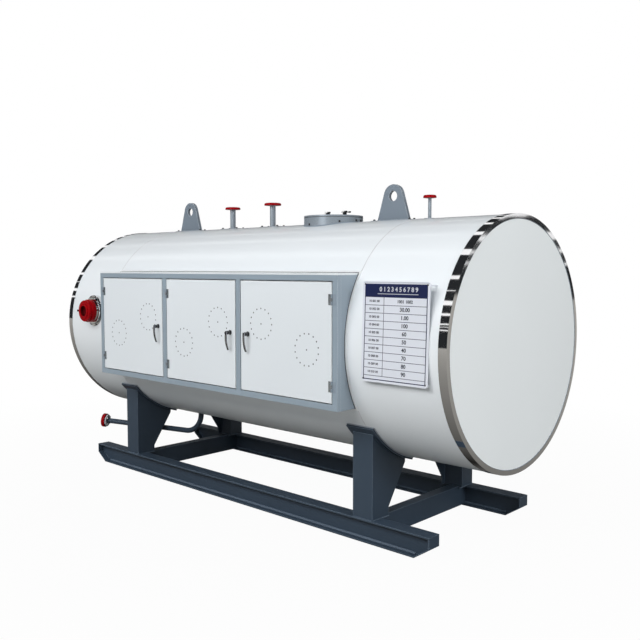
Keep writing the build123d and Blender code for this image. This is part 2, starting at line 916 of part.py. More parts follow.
print("size", high_x - low_x, high_y - low_y, max(box.max.Z for box in boxes))
print("shift", shift_x, shift_y)
print("hinge axes", [x + shift_x for x in hinge_axes_x], hinge_axis_y + shift_y)
print("handle axes", [x + shift_x for x in handle_axes_x], handle_level)
print("pieces", len(pieces))
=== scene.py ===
import json
import math

import bmesh
import bpy
from mathutils import Matrix, Vector


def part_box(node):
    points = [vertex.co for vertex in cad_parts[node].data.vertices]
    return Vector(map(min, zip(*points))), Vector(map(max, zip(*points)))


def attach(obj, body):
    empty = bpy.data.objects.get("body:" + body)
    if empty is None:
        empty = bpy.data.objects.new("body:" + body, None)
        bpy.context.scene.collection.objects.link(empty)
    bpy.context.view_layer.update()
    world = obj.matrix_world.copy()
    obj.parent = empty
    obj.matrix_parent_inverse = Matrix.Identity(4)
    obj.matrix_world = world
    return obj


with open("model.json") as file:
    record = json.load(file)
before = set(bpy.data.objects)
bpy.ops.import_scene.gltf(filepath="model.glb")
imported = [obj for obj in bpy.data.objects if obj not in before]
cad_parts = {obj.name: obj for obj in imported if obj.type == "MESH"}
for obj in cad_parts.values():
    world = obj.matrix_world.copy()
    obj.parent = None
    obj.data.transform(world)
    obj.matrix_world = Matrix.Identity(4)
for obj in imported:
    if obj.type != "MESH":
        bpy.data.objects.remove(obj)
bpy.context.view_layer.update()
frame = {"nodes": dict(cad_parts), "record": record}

nodes = frame["nodes"]
scene = bpy.context.scene


# Finishes: scales are in swirls to the metre, depths and heights in metres

PATTERN_MIDDLE = (0.3, 0.7)
DRIFT_SCALE = 1.3
PEEL_SCALE = 240.0
PEEL_DEPTH = 0.0004
GRIME_SCALE = 7.0
GRIME_ROUGH = 0.65
DUSTY_SPOTS = (0.5, 0.8)
DUST_KEEPS = 0.6
DUST_ADDS = 0.06
PAINT_GLOSS = (0.94, 1.06)
COAT_ROUGH = 0.07
# the painted edge highlight covers spots whose rounded normal leans from the flat one between
# these shares, and fades in between these heights over the floor
EDGE_LEAN = (0.85, 0.995)
FLOOR_CONTACT = (0.006, 0.014)
GRAIN_SCALE = 320.0
GRAIN_DEPTH = 0.0002
METAL_TONES = (0.94, 1.05)
METAL_GLOSS = (0.8, 1.3)
CLOUD_SCALE = 6.0
DENT_SCALE = 7.0
DENT_DEPTH = 0.01
SWIRL_SCALE = 14.0
SPECK_SCALE = 400.0
SPECK_STRENGTH = 0.04
SPECK_DEPTH = 0.0003
PLASTIC_TONES = (0.92, 1.08)
PLASTIC_GLOSS = (0.9, 1.1)


def new_finish(name):
    """A node material, its nodes, its links and its Principled shader."""
    finish = bpy.data.materials.new(name)
    finish.use_nodes = True
    tree = finish.node_tree
    return finish, tree.nodes, tree.links, tree.nodes["Principled BSDF"]


def place_coords(made, links, stretch=(1, 1, 1)):
    """Object coordinates, stretched so that a pattern can run one way."""
    coords = made.new("ShaderNodeTexCoord")
    mapping = made.new("ShaderNodeMapping")
    mapping.inputs["Scale"].default_value = stretch
    links.new(coords.outputs["Object"], mapping.inputs["Vector"])
    return mapping.outputs["Vector"]


def noise(made, links, vector, scale, detail=3.0, rough=0.5):
    """Cloudy noise, with so many swirls to the metre."""
    grain = made.new("ShaderNodeTexNoise")
    grain.inputs["Scale"].default_value = scale
    grain.inputs["Detail"].default_value = detail
    grain.inputs["Roughness"].default_value = rough
    links.new(vector, grain.inputs["Vector"])
    return grain.outputs["Fac"]


def spread(made, links, value, low, high, out_low, out_high):
    """Maps one range of a pattern onto another."""
    span = made.new("ShaderNodeMapRange")
    for socket, number in zip(("From Min", "From Max", "To Min", "To Max"),
                              (low, high, out_low, out_high)):
        span.inputs[socket].default_value = number
    links.new(value, span.inputs["Value"])
    return span.outputs["Result"]


def reckoned(made, links, operation, first, second=None):
    """A Math node on one value, or on two, the second of which may be a plain number."""
    step = made.new("ShaderNodeMath")
    step.operation = operation
    links.new(first, step.inputs[0])
    if isinstance(second, float):
        step.inputs[1].default_value = second
    elif second is not None:
        links.new(second, step.inputs[1])
    return step.outputs["Value"]


def parted(made, links, vector, letter):
    """One of a vector's three parts."""
    parts = made.new("ShaderNodeSeparateXYZ")
    links.new(vector, parts.inputs["Vector"])
    return parts.outputs[letter]


def two_tone(made, links, value, first, second):
    """A colour that wanders between two near tones."""
    mix = made.new("ShaderNodeMix")
    mix.data_type = "RGBA"
    mix.inputs["A"].default_value = (*first, 1)
    mix.inputs["B"].default_value = (*second, 1)
    links.new(value, mix.inputs["Factor"])
    return mix.outputs["Result"]


def laid_over(made, links, below, colour, share):
    """A second colour that covers a share of the one below."""
    mix = made.new("ShaderNodeMix")
    mix.data_type = "RGBA"
    mix.inputs["B"].default_value = (*colour, 1)
    links.new(below, mix.inputs["A"])
    links.new(share, mix.inputs["Factor"])
    return mix.outputs["Result"]


def bump(made, links, height, strength, distance, before=None):
    """A pattern felt in the surface, on top of what is bumped before it."""
    bumps = made.new("ShaderNodeBump")
    bumps.inputs["Strength"].default_value = strength
    bumps.inputs["Distance"].default_value = distance
    links.new(height, bumps.inputs["Height"])
    if before is not None:
        links.new(before, bumps.inputs["Normal"])
    return bumps.outputs["Normal"]


def soft_edges(made, radius):
    """The small rounding that a coat of paint leaves on every sheet edge."""
    rounding = made.new("ShaderNodeBevel")
    rounding.samples = 6
    rounding.inputs["Radius"].default_value = radius
    return rounding.outputs["Normal"]


def shades(colour, shares):
    """A darker and a lighter tone of a colour."""
    return [tuple(max(0.0, min(1.0, part * share)) for part in colour) for share in shares]


def gloss(made, links, pattern, rough, shares):
    """Roughness that a pattern carries between two shares of its middle value."""
    return spread(made, links, pattern, *PATTERN_MIDDLE, *(rough * share for share in shares))


def edge_highlight_share(made, links, rounded):
    """How much a spot lies on an edge: the mask of the painted edge highlight."""
    flat = made.new("ShaderNodeNewGeometry")
    lean = made.new("ShaderNodeVectorMath")
    lean.operation = "DOT_PRODUCT"
    links.new(rounded, lean.inputs[0])
    links.new(flat.outputs["Normal"], lean.inputs[1])
    return spread(made, links, lean.outputs["Value"], *EDGE_LEAN, 1.0, 0.0)


def sprayed_paint(name, colour, rough=0.3, coat=0.3, drift=0.03, peel=0.05, edge=0.0, dust=0.0,
                  edge_highlight_tone=None):
    """Sprayed enamel: slow tone drift, orange peel, a little dust and a painted highlight along
    the edges.
    """
    finish, made, links, shader = new_finish(name)
    vector = place_coords(made, links)
    slow = noise(made, links, vector, DRIFT_SCALE, detail=1.0)
    fine = noise(made, links, vector, PEEL_SCALE, detail=2.0)
    grime = noise(made, links, vector, GRIME_SCALE, detail=6.0, rough=GRIME_ROUGH)
    tone = two_tone(made, links, spread(made, links, slow, *PATTERN_MIDDLE, 0.0, 1.0),
                    *shades(colour, (1 - drift, 1 + drift)))
    if dust:
        dusty = [part * DUST_KEEPS + DUST_ADDS for part in colour]
        tone = laid_over(made, links, tone, dusty,
                         spread(made, links, grime, *DUSTY_SPOTS, 0.0, dust))
    rounded = soft_edges(made, edge) if edge else None
    # painted highlight: edges off the floor get a paler tone, as if they caught the light
    if edge_highlight_tone:
        height = parted(made, links, vector, "Z")
        off_floor = spread(made, links, height, *FLOOR_CONTACT, 0.0, 1.0)
        edge_highlight_mask = reckoned(made, links, "MULTIPLY", off_floor, edge_highlight_share(made, links, rounded))
        tone = laid_over(made, links, tone, edge_highlight_tone, edge_highlight_mask)
    links.new(tone, shader.inputs["Base Color"])
    links.new(gloss(made, links, grime, rough, PAINT_GLOSS), shader.inputs["Roughness"])
    shader.inputs["Coat Weight"].default_value = coat
    shader.inputs["Coat Roughness"].default_value = COAT_ROUGH
    links.new(bump(made, links, fine, peel, PEEL_DEPTH, rounded), shader.inputs["Normal"])
    return finish


def bare_metal(name, colour, rough=0.12, grain=(1, 1, 1), scratch=0.04, dents=0.0, metal=1.0):
    """Bright metal with a fine directional grain and shallow hammered unevenness."""
    finish, made, links, shader = new_finish(name)
    lines = noise(made, links, place_coords(made, links, grain), GRAIN_SCALE)
    cloud = noise(made, links, place_coords(made, links), CLOUD_SCALE, detail=4.0)
    links.new(two_tone(made, links, cloud, *shades(colour, METAL_TONES)),
              shader.inputs["Base Color"])
    shader.inputs["Metallic"].default_value = metal
    links.new(gloss(made, links, lines, rough, METAL_GLOSS), shader.inputs["Roughness"])
    normal = bump(made, links, lines, scratch, GRAIN_DEPTH)
    if dents:
        dent = noise(made, links, place_coords(made, links), DENT_SCALE, detail=1.0)
        normal = bump(made, links, dent, dents, DENT_DEPTH, normal)
    links.new(normal, shader.inputs["Normal"])
    return finish


def moulded_plastic(name, colour, rough=0.35, coat=0.1, shine=0.5):
    """Moulded plastic: a barely uneven colour and a slightly uneven gloss."""
    finish, made, links, shader = new_finish(name)
    vector = place_coords(made, links)
    swirl = noise(made, links, vector, SWIRL_SCALE)
    fine = noise(made, links, vector, SPECK_SCALE, detail=2.0)
    links.new(two_tone(made, links, swirl, *shades(colour, PLASTIC_TONES)),
              shader.inputs["Base Color"])
    links.new(gloss(made, links, swirl, rough, PLASTIC_GLOSS), shader.inputs["Roughness"])
    shader.inputs["Coat Weight"].default_value = coat
    shader.inputs["Specular IOR Level"].default_value = shine
    links.new(bump(made, links, fine, SPECK_STRENGTH, SPECK_DEPTH), shader.inputs["Normal"])
    return finish


# Finishes of the solids
BARREL_WHITE = sprayed_paint("barrel_white", (0.79, 0.825, 0.85), rough=0.24, coat=0.34,
                             drift=0.006, peel=0.012)
END_WHITE = sprayed_paint("end_white", (0.79, 0.825, 0.835), rough=0.55, coat=0.0,
                          drift=0.01, peel=0.03)
MIRROR_STEEL = bare_metal("mirror_steel", (0.88, 0.88, 0.89), rough=0.05, grain=(0.02, 1, 1),
                          scratch=0.02, dents=0.05)
# the paler tone on the edges of the cabinet, doors, fittings and skid is a painted highlight
CABINET_GREY = sprayed_paint("cabinet_grey", (0.265, 0.325, 0.38), rough=0.36, coat=0.2,
                             peel=0.04, edge=0.004, edge_highlight_tone=(0.42, 0.48, 0.53))
CABINET_SHEET = sprayed_paint("cabinet_sheet", (0.265, 0.325, 0.38), rough=0.36, coat=0.2,
                              peel=0.04)
DOOR_WHITE = sprayed_paint("door_white", (0.705, 0.745, 0.775), rough=0.40, coat=0.1,
                           drift=0.008, peel=0.03, edge=0.007, edge_highlight_tone=(0.90, 0.93, 0.95))
FITTING_GREY = sprayed_paint("fitting_grey", (0.19, 0.228, 0.27), rough=0.26, coat=0.5,
                             peel=0.03, edge=0.007, edge_highlight_tone=(0.40, 0.44, 0.48))
COVER_GREY = bare_metal("cover_grey", (0.34, 0.39, 0.44), rough=0.30, grain=(1.6, 1.6, 1.6),
                        scratch=0.006, metal=0.42)
SKID_SLATE = sprayed_paint("skid_slate", (0.036, 0.055, 0.081), rough=0.44, coat=0.05,
                           drift=0.06, peel=0.06, edge=0.004, dust=0.02,
                           edge_highlight_tone=(0.17, 0.22, 0.28))
CAP_RED = moulded_plastic("cap_red", (0.29, 0.001, 0.004), rough=0.36, coat=0.0, shine=0.08)
HINGE_STEEL = bare_metal("hinge_steel", (0.50, 0.54, 0.58), rough=0.20, grain=(1, 1, 0.05),
                         scratch=0.05, metal=0.9)
HINGE_SPRAYED = sprayed_paint("hinge_sprayed", (0.235, 0.285, 0.335), rough=0.34, coat=0.2,
                              peel=0.04)
LEVER_CHROME = bare_metal("lever_chrome", (0.36, 0.36, 0.38), rough=0.09, grain=(1, 1, 0.1),
                          scratch=0.01)
PLATE_WHITE = sprayed_paint("plate_white", (0.68, 0.705, 0.765), coat=0.2, drift=0.006,
                            peel=0.02)
TRIM_STEEL = bare_metal("trim_steel", (0.80, 0.82, 0.83), rough=0.35, grain=(0.05, 1, 1),
                        scratch=0.02, metal=0.2)

slot_finish = {
    "barrel_white": BARREL_WHITE,
    "end_white": END_WHITE,
    "polished_steel": MIRROR_STEEL,
    "cabinet_grey": CABINET_GREY,
    "door_white": DOOR_WHITE,
    "fitting_grey": FITTING_GREY,
    "skid_slate": SKID_SLATE,
    "cap_red": CAP_RED,
    "hinge_steel": HINGE_STEEL,
    "lever_chrome": LEVER_CHROME,
    "plate_white": PLATE_WHITE,
    "trim_steel": TRIM_STEEL,
}
node_finish = {
    "cabinet_side_left": CABINET_SHEET,
    "cabinet_side_right": CABINET_SHEET,
    "cabinet_top": CABINET_SHEET,
    "cabinet_bottom": CABINET_SHEET,
    "cover_neck": COVER_GREY,
    "cover": COVER_GREY,
    "top_pipes": COVER_GREY,
    "hinge_leaves_frame": HINGE_SPRAYED,
}
for part in frame["record"]["subparts"]:
    surface = nodes[part["node"]].data.materials
    surface.clear()
    surface.append(node_finish.get(part["node"], slot_finish[part["material_slot"]]))

# Finishes of the small pieces
SEAM_GREY = sprayed_paint("seam_grey", (0.50, 0.49, 0.51), rough=0.5, coat=0.0, drift=0.02,
                          peel=0.03)
RIVET_GREY = sprayed_paint("rivet_grey", (0.055, 0.06, 0.07), rough=0.5, coat=0.0, drift=0.02,
                           peel=0.02)
BLACK_OXIDE = sprayed_paint("black_oxide", (0.022, 0.022, 0.024), rough=0.35, coat=0.2,
                            drift=0.05, peel=0.04)
BRIGHT_ZINC = bare_metal("bright_zinc", (0.76, 0.76, 0.74), rough=0.3, metal=0.2)
BLACK_KNOB = moulded_plastic("black_knob", (0.012, 0.012, 0.014), rough=0.18, coat=0.5)
PRINT_NAVY = sprayed_paint("print_navy", (0.007, 0.013, 0.062), rough=0.34, coat=0.2,
                           drift=0.02, peel=0.02)
PRINT_GREY = sprayed_paint("print_grey", (0.085, 0.09, 0.125), rough=0.45, coat=0.0,
                           drift=0.02, peel=0.02)
PRINT_INK = sprayed_paint("print_ink", (0.022, 0.025, 0.042), rough=0.45, coat=0.0,
                          drift=0.02, peel=0.02)
PRINT_WHITE = sprayed_paint("print_white", (0.62, 0.64, 0.66), rough=0.45, coat=0.0,
                            drift=0.01, peel=0.02)
SEALANT_GREY = sprayed_paint("sealant_grey", (0.20, 0.24, 0.28), rough=0.6, coat=0.0, peel=0.10)
# a darker red than the cap's own, for the liner that paints shade into the cap's hollow
CAP_SHADE_LINER = moulded_plastic("cap_shade_liner", (0.075, 0.0012, 0.002), rough=0.5, coat=0.0,
                             shine=0.2)
# white for the roof's folded lip: a painted highlight where the fold catches the light
LIP_HIGHLIGHT_WHITE = sprayed_paint("lip_highlight_white", (0.74, 0.77, 0.79), rough=0.35, coat=0.2,
                            drift=0.01, peel=0.03)
# light grey for the saddle seals: a painted highlight on the pads' edges
PAD_EDGE_HIGHLIGHT = sprayed_paint("pad_edge_highlight", (0.30, 0.33, 0.37), rough=0.5, coat=0.0, peel=0.06)
SEAL_DARK = sprayed_paint("seal_dark", (0.055, 0.06, 0.065), rough=0.6, coat=0.0, peel=0.06)
# the skid's slate lightened for the girder fillets: a painted highlight
SLATE_HIGHLIGHT = sprayed_paint("slate_highlight", (0.085, 0.115, 0.155), rough=0.4, coat=0.1,
                            drift=0.05, peel=0.06)
GASKET_GREY = sprayed_paint("gasket_grey", (0.42, 0.44, 0.46), rough=0.55, coat=0.0, peel=0.06)


# Helpers that make and place the small pieces

FRONT = Vector((0, -1, 0))


def finished(name, bm, finish, body="boiler", sharp=35.0):
    """Turns a finished bmesh into a piece that rides on a body."""
    bmesh.ops.recalc_face_normals(bm, faces=bm.faces)
    mesh = bpy.data.meshes.new(name)
    bm.to_mesh(mesh)
    bm.free()
    mesh.materials.append(finish)
    mesh.shade_smooth()
    mesh.set_sharp_from_angle(angle=math.radians(sharp))
    piece = bpy.data.objects.new(name, mesh)
    scene.collection.objects.link(piece)
    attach(piece, body)


def mould(bm):
    """Keeps a small shape as a mesh that can be stamped many times."""
    mesh = bpy.data.meshes.new("mould")
    bm.to_mesh(mesh)
    bm.free()
    return mesh


def stamp(bm, shape, places):
    """Adds a copy of a shape at each place."""
    for place in places:
        kept = set(bm.verts)
        bm.from_mesh(shape)
        fresh = [vert for vert in bm.verts if vert not in kept]
        bmesh.ops.transform(bm, matrix=place, verts=fresh)


def stamped(shape, places):
    """Copies of a shape and nothing else."""
    bm = bmesh.new()
    stamp(bm, shape, places)
    return bm


def moved(bm, place):
    """A shape taken to its place."""
    bmesh.ops.transform(bm, matrix=place, verts=bm.verts)
    return bm


def turned(outline, steps, ring=False):
    """An outline of (radius, height) spun round +Z; a ring's outline closes on itself."""
    bm = bmesh.new()
    verts = [bm.verts.new((radius, 0, height)) for radius, height in outline]
    following = verts[1:] + verts[:1] if ring else verts[1:]
    edges = [bm.edges.new(pair) for pair in zip(verts, following)]
    bmesh.ops.spin(bm, geom=verts + edges, cent=(0, 0, 0), axis=(0, 0, 1),
                   angle=math.tau, steps=steps, use_merge=True)
    bmesh.ops.remove_doubles(bm, verts=bm.verts, dist=1e-6)
    return bm


def bevelled_block(size, edge, segments=2):
    """A block on the origin with every edge eased."""
    bm = bmesh.new()
    bmesh.ops.create_cube(bm, size=1, matrix=Matrix.Diagonal((*size, 1)))
    bmesh.ops.bevel(bm, geom=bm.edges[:], offset=edge, segments=segments, profile=0.5,
                    affect="EDGES", material=-1)
    return bm


def at(x, y, z):
    """A matrix that only moves."""
    return Matrix.Translation((x, y, z))


def facing(direction, place):
    """A matrix that takes local +Z to a direction and the origin to a place."""
    turn = Vector(direction).to_track_quat("Z", "Y").to_matrix().to_4x4()
    return Matrix.Translation(place) @ turn


def ring_places(middle, radius, number, start):
    """Places facing the front, evenly round a circle; start is a share of one step."""
    angles = [math.tau * (count + start) / number for count in range(number)]
    return [facing(FRONT, middle + radius * Vector((math.sin(angle), 0, math.cos(angle))))
            for angle in angles]


def rivet(radius, rise):
    """A low domed rivet with its shank sunk in the sheet."""
    return turned([(0, rise), (0.45 * radius, 0.88 * rise), (0.8 * radius, 0.52 * rise),
                   (radius, 0), (radius, -rise), (0, -rise)], steps=10)


def button_screw(radius, rise):
    """A button head with a round socket."""
    return turned([(0, 0.35 * rise), (0.42 * radius, 0.35 * rise), (0.46 * radius, rise),
                   (0.74 * radius, 0.86 * rise), (0.95 * radius, 0.4 * rise), (radius, 0),
                   (radius, -0.6 * rise), (0, -0.6 * rise)], steps=14)


def hex_bolt(across, head, washer, shank):
    """A hexagon head on a washer, with its shank going down into the piece below."""
    bm = turned([(0, washer), (0.68 * across, washer), (0.7 * across, 0.7 * washer),
                 (0.7 * across, -shank), (0, -shank)], steps=16)
    disc = bmesh.ops.create_circle(bm, cap_ends=True, radius=across / math.sqrt(3), segments=6,
                                   matrix=at(0, 0, 0.9 * washer))
    base = list({face for vert in disc["verts"] for face in vert.link_faces})
    grown = bmesh.ops.extrude_face_region(bm, geom=base)["geom"]
    top_verts = [item for item in grown if isinstance(item, bmesh.types.BMVert)]
    bmesh.ops.translate(bm, verts=top_verts, vec=(0, 0, head))
    top_edges = [item for item in grown if isinstance(item, bmesh.types.BMEdge)]
    bmesh.ops.bevel(bm, geom=top_edges, offset=0.12 * across, segments=1, profile=0.5,
                    affect="EDGES", material=-1)
    return bm


# Barrel and cabinet measures read from the frame
barrel_low, barrel_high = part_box("barrel_shell_middle")
BARREL_RADIUS = (barrel_high.z - barrel_low.z) / 2
BARREL_Y = (barrel_low.y + barrel_high.y) / 2
BARREL_Z = (barrel_low.z + barrel_high.z) / 2
frame_low, frame_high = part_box("cabinet_frame")
FRAME_X = (frame_low.x + frame_high.x) / 2
FRAME_WIDTH = frame_high.x - frame_low.x


def crown_height(y):
    """Height of the barrel's upper surface at a y."""
    return BARREL_Z + math.sqrt(BARREL_RADIUS ** 2 - (y - BARREL_Y) ** 2)


def drape(bm):
    """Lowers a flat piece, drawn at its height over the barrel, onto the barrel's crown."""
    for vert in bm.verts:
        vert.co.z += crown_height(vert.co.y)


def hoop(bm, x, radius, bead, start, sweep, steps):
    """A bead bent round the barrel; its angles run down from the level line at the front."""
    axis_place = (0, BARREL_Y, BARREL_Z)
    ring = bmesh.ops.create_circle(bm, radius=bead, segments=6,
                                   matrix=at(x, BARREL_Y - radius, BARREL_Z))["verts"]
    bmesh.ops.rotate(bm, verts=ring, cent=axis_place,
                     matrix=Matrix.Rotation(math.radians(start), 3, "X"))
    edges = list({edge for vert in ring for edge in vert.link_edges})
    bmesh.ops.spin(bm, geom=ring + edges, cent=axis_place, axis=(1, 0, 0),
                   angle=math.radians(sweep), steps=steps, use_merge=sweep == 360)


def straight_bead(bm, bead, length, place):
    """A bead along X, centred on a place."""
    bmesh.ops.create_cone(bm, segments=6, radius1=bead, radius2=bead, depth=length,
                          cap_ends=True, matrix=place @ Matrix.Rotation(math.pi / 2, 4, "Y"))


# Doors: rings of rivets, hinge screws and lever bosses
DOOR_FACE_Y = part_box("door_left")[0].y
RIVET_RING_RADIUS = 0.095
RIVETS_IN_RING = 16
# each ring as its middle, across and up from the cabinet's corner, and its turn in steps
RIVET_RINGS = {
    "left": ((0.249, 0.323, 0.0), (0.626, 0.459, 0.5)),
    "middle": ((1.045, 0.303, 0.0), (1.407, 0.459, 0.0)),
    "right": ((1.820, 0.467, 0.0), (2.208, 0.335, 0.5)),
}
ring_rivet = mould(rivet(radius=0.0050, rise=0.0014))
for side, rings in RIVET_RINGS.items():
    places = []
    for across, up, turn in rings:
        middle = Vector((frame_low.x + across, DOOR_FACE_Y, frame_low.z + up))
        places.append(facing(FRONT, middle))
        places += ring_places(middle, RIVET_RING_RADIUS, RIVETS_IN_RING, turn)
    finished("door_rivets_" + side, stamped(ring_rivet, places), RIVET_GREY, "door_" + side)

# each hinge axis as its x and the side on which its door lies
HINGE_AXES = {"left": (-1.227, 1), "middle": (-0.418, 1), "right": (1.139, -1)}
HINGE_LEVELS = (0.958, 1.452)
HINGE_SCREW_REACH = 0.0165
HINGE_SCREW_RISE = 0.020
HINGE_LEAF_SHEET = 0.002
LEAF_FACE_Y = DOOR_FACE_Y - HINGE_LEAF_SHEET
leaf_screw = mould(button_screw(radius=0.0038, rise=0.0014))


def leaf_screws(axis_x, reach):
    """Places of the screws in the leaves on one side of a door's hinges."""
    return [facing(FRONT, (axis_x + reach * HINGE_SCREW_REACH, LEAF_FACE_Y, level + rise))
            for level in HINGE_LEVELS for rise in (-HINGE_SCREW_RISE, HINGE_SCREW_RISE)]


frame_screws = []
for side, (axis_x, inward) in HINGE_AXES.items():
    finished("hinge_screws_" + side, stamped(leaf_screw, leaf_screws(axis_x, inward)),
             HINGE_STEEL, "door_" + side)
    frame_screws += leaf_screws(axis_x, -inward)
finished("hinge_screws_frame", stamped(leaf_screw, frame_screws), HINGE_SPRAYED)

BOSS_OUTLINE = [(0.009, 0.0005), (0.0125, 0.0005), (0.0135, 0.002), (0.0125, 0.004),
                (0.0115, 0.012), (0.0125, 0.020), (0.0118, 0.0235), (0.009, 0.0235)]
for side in ("left", "middle", "right"):
    rose_low, rose_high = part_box("handle_rose_" + side)
    rose_middle = (rose_low + rose_high) / 2
    boss_place = facing(FRONT, (rose_middle.x, rose_low.y, rose_middle.z))
    boss = moved(turned(BOSS_OUTLINE, steps=28, ring=True), boss_place)
    finished("lever_boss_" + side, boss, BLACK_KNOB, "lever_" + side)

# Cabinet roof: the folded lip round its top edge, one sheet on the front and two sides, white as a
# painted highlight on the fold
LIP_HEIGHT = 0.007
LIP_SHEET = 0.0008
LIP_EASE = 0.0003
LIP_BACK_GAP = 0.012
lip_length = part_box("cabinet_side_right")[1].y - frame_low.y - LIP_BACK_GAP
lip_z = frame_high.z - LIP_HEIGHT / 2
front_lip = bevelled_block((FRAME_WIDTH + 2 * LIP_SHEET, LIP_SHEET, LIP_HEIGHT), LIP_EASE,
                           segments=1)
side_lip = bevelled_block((LIP_SHEET, lip_length, LIP_HEIGHT), LIP_EASE, segments=1)
roof_lip = stamped(mould(front_lip), [at(FRAME_X, frame_low.y - LIP_SHEET / 2, lip_z)])
stamp(roof_lip, mould(side_lip), [
    at(x, frame_low.y + lip_length / 2, lip_z)
    for x in (frame_low.x - LIP_SHEET / 2, frame_high.x + LIP_SHEET / 2)])
finished("roof_lip", roof_lip, LIP_HIGHLIGHT_WHITE)

# Barrel seams, and the seals between the end plates and their rings
SEAM_BEAD = 0.0016
SEAM_PROUD = 0.0002
seams = bmesh.new()
for seam_x in (barrel_low.x, barrel_high.x):
    hoop(seams, seam_x, BARREL_RADIUS + SEAM_PROUD, SEAM_BEAD, start=0, sweep=360, steps=180)
bmesh.ops.remove_doubles(seams, verts=seams.verts, dist=1e-6)
finished("barrel_seams", seams, SEAM_GREY, sharp=80)

END_SEAL = [(0.7215, 0.0), (0.7245, 0.0), (0.7245, 0.0027), (0.7222, 0.0022)]
RING_SHEET = 0.003
end_seal = mould(turned(END_SEAL, steps=160, ring=True))
end_seals = bmesh.new()
for side, out in (("left", -1), ("right", 1)):
    low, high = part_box("end_ring_" + side)
    face_x = high.x - RING_SHEET if out > 0 else low.x + RING_SHEET
    stamp(end_seals, end_seal, [facing((out, 0, 0), (face_x, BARREL_Y, BARREL_Z))])
finished("end_seals", end_seals, SEALANT_GREY, sharp=60)

# The dark seal between the cabinet and the barrel
CABINET_BEAD = 0.003
CABINET_BEAD_PROUD = 0.004
CABINET_BEAD_RISE = 0.006
seal_low = math.degrees(math.asin((BARREL_Z - frame_low.z) / BARREL_RADIUS))
seal_high = math.degrees(math.asin((frame_high.z - BARREL_Z) / BARREL_RADIUS))
cabinet_seal = bmesh.new()
for seal_x in (frame_low.x, frame_high.x):
    hoop(cabinet_seal, seal_x, BARREL_RADIUS + CABINET_BEAD_PROUD, CABINET_BEAD,
         start=seal_low, sweep=-seal_low - seal_high, steps=48)
for seal_z in (frame_low.z, frame_high.z + CABINET_BEAD_RISE):
    seal_y = BARREL_Y - math.sqrt(BARREL_RADIUS ** 2 - (seal_z - BARREL_Z) ** 2)
    straight_bead(cabinet_seal, CABINET_BEAD, FRAME_WIDTH,
                  at(FRAME_X, seal_y - CABINET_BEAD, seal_z))
finished("cabinet_seal", cabinet_seal, SEAL_DARK, sharp=80)

# Data plate: ruled print, plain numbers and corner screws, measured from the plate's middle
PLATE_TILT = math.radians(2)
PLATE_HALF_HEIGHT = 0.27525
plate_low, plate_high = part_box("data_plate")
PLATE_FACE = Matrix.Translation((
    (plate_low.x + plate_high.x) / 2,
    plate_low.y + PLATE_HALF_HEIGHT * math.sin(PLATE_TILT),
    (plate_low.z + plate_high.z) / 2,
)) @ Matrix.Rotation(math.pi / 2 - PLATE_TILT, 4, "X")
PRINT_THICK = 0.0003
PRINT_BOLD = 0.022
HEADER_TOP = 0.262
HEADER_FOOT = 0.189
ROWS = 10
ROW_HEIGHT = 0.0429
BORDER_X = 0.2085
BORDER_WIDTH = 0.005
DIVIDER_X = -0.076
LINE_WIDTH = 0.0032
FOOT_LINE = -0.258
# left, right, low and high of the fine line above the header and of the header's underline
TOP_LINE = (-0.221, 0.221, 0.2685, 0.2700)
UNDERLINE = (-0.120, 0.150, 0.2065, 0.2095)
HEADER_NUMBERS = "0 1 2 3 4 5 6 7 8 9"
HEADER_PLACE = (0.02, 0.232)
HEADER_SIZE = 0.034
ROW_NUMBERS = ("1001 1002", "30.00", "1.00", "100", "60", "50", "40", "70", "80", "90")
ROW_NUMBER_X = 0.064
ROW_NUMBER_SIZE = 0.030
FIRST_NUMBER_SIZE = 0.024
ROW_LABEL_X = -0.142
ROW_LABEL_SIZE = 0.018
PLATE_SCREW_INSET = 0.016


def print_bar(bm, left, right, low, high):
    """A flat printed bar between four lines of the plate."""
    bmesh.ops.create_cube(bm, size=1, matrix=at((left + right) / 2, (low + high) / 2, 0)
                          @ Matrix.Diagonal((right - left, high - low, 2 * PRINT_THICK, 1)))


def printed_number(bm, words, middle, level, size):
    """Plain digits, centred on a spot of the plate."""
    curve = bpy.data.curves.new("digits", "FONT")
    curve.body = words
    curve.size = size
    curve.align_x = "CENTER"
    curve.align_y = "CENTER"
    curve.extrude = PRINT_THICK
    curve.offset = size * PRINT_BOLD
    curve.resolution_u = 3
    drawn = bpy.data.objects.new("digits", curve)
    scene.collection.objects.link(drawn)
    settled = drawn.evaluated_get(bpy.context.evaluated_depsgraph_get())
    outline = bpy.data.meshes.new_from_object(settled)
    stamp(bm, outline, [at(middle, level, PRINT_THICK)])
    bpy.data.objects.remove(drawn)
    bpy.data.meshes.remove(outline)


def on_plate(name, bm, finish):
    """Finishes a piece that was drawn flat, on the plate's face."""
    finished(name, moved(bm, PLATE_FACE), finish)


header = bmesh.new()
print_bar(header, -BORDER_X, BORDER_X, HEADER_FOOT, HEADER_TOP)
on_plate("plate_header", header, PRINT_NAVY)

border = bmesh.new()
for left in (-BORDER_X, BORDER_X - BORDER_WIDTH):
    print_bar(border, left, left + BORDER_WIDTH, FOOT_LINE, HEADER_FOOT)
print_bar(border, -BORDER_X, BORDER_X, FOOT_LINE - BORDER_WIDTH, FOOT_LINE)
on_plate("plate_border", border, PRINT_NAVY)

rules = bmesh.new()
for row in range(1, ROWS + 1):
    level = HEADER_FOOT - row * ROW_HEIGHT
    print_bar(rules, -BORDER_X, BORDER_X, level - LINE_WIDTH / 2, level + LINE_WIDTH / 2)
print_bar(rules, DIVIDER_X - LINE_WIDTH / 2, DIVIDER_X + LINE_WIDTH / 2,
          HEADER_FOOT - ROWS * ROW_HEIGHT, HEADER_FOOT)
print_bar(rules, *TOP_LINE)
on_plate("plate_rules", rules, PRINT_GREY)

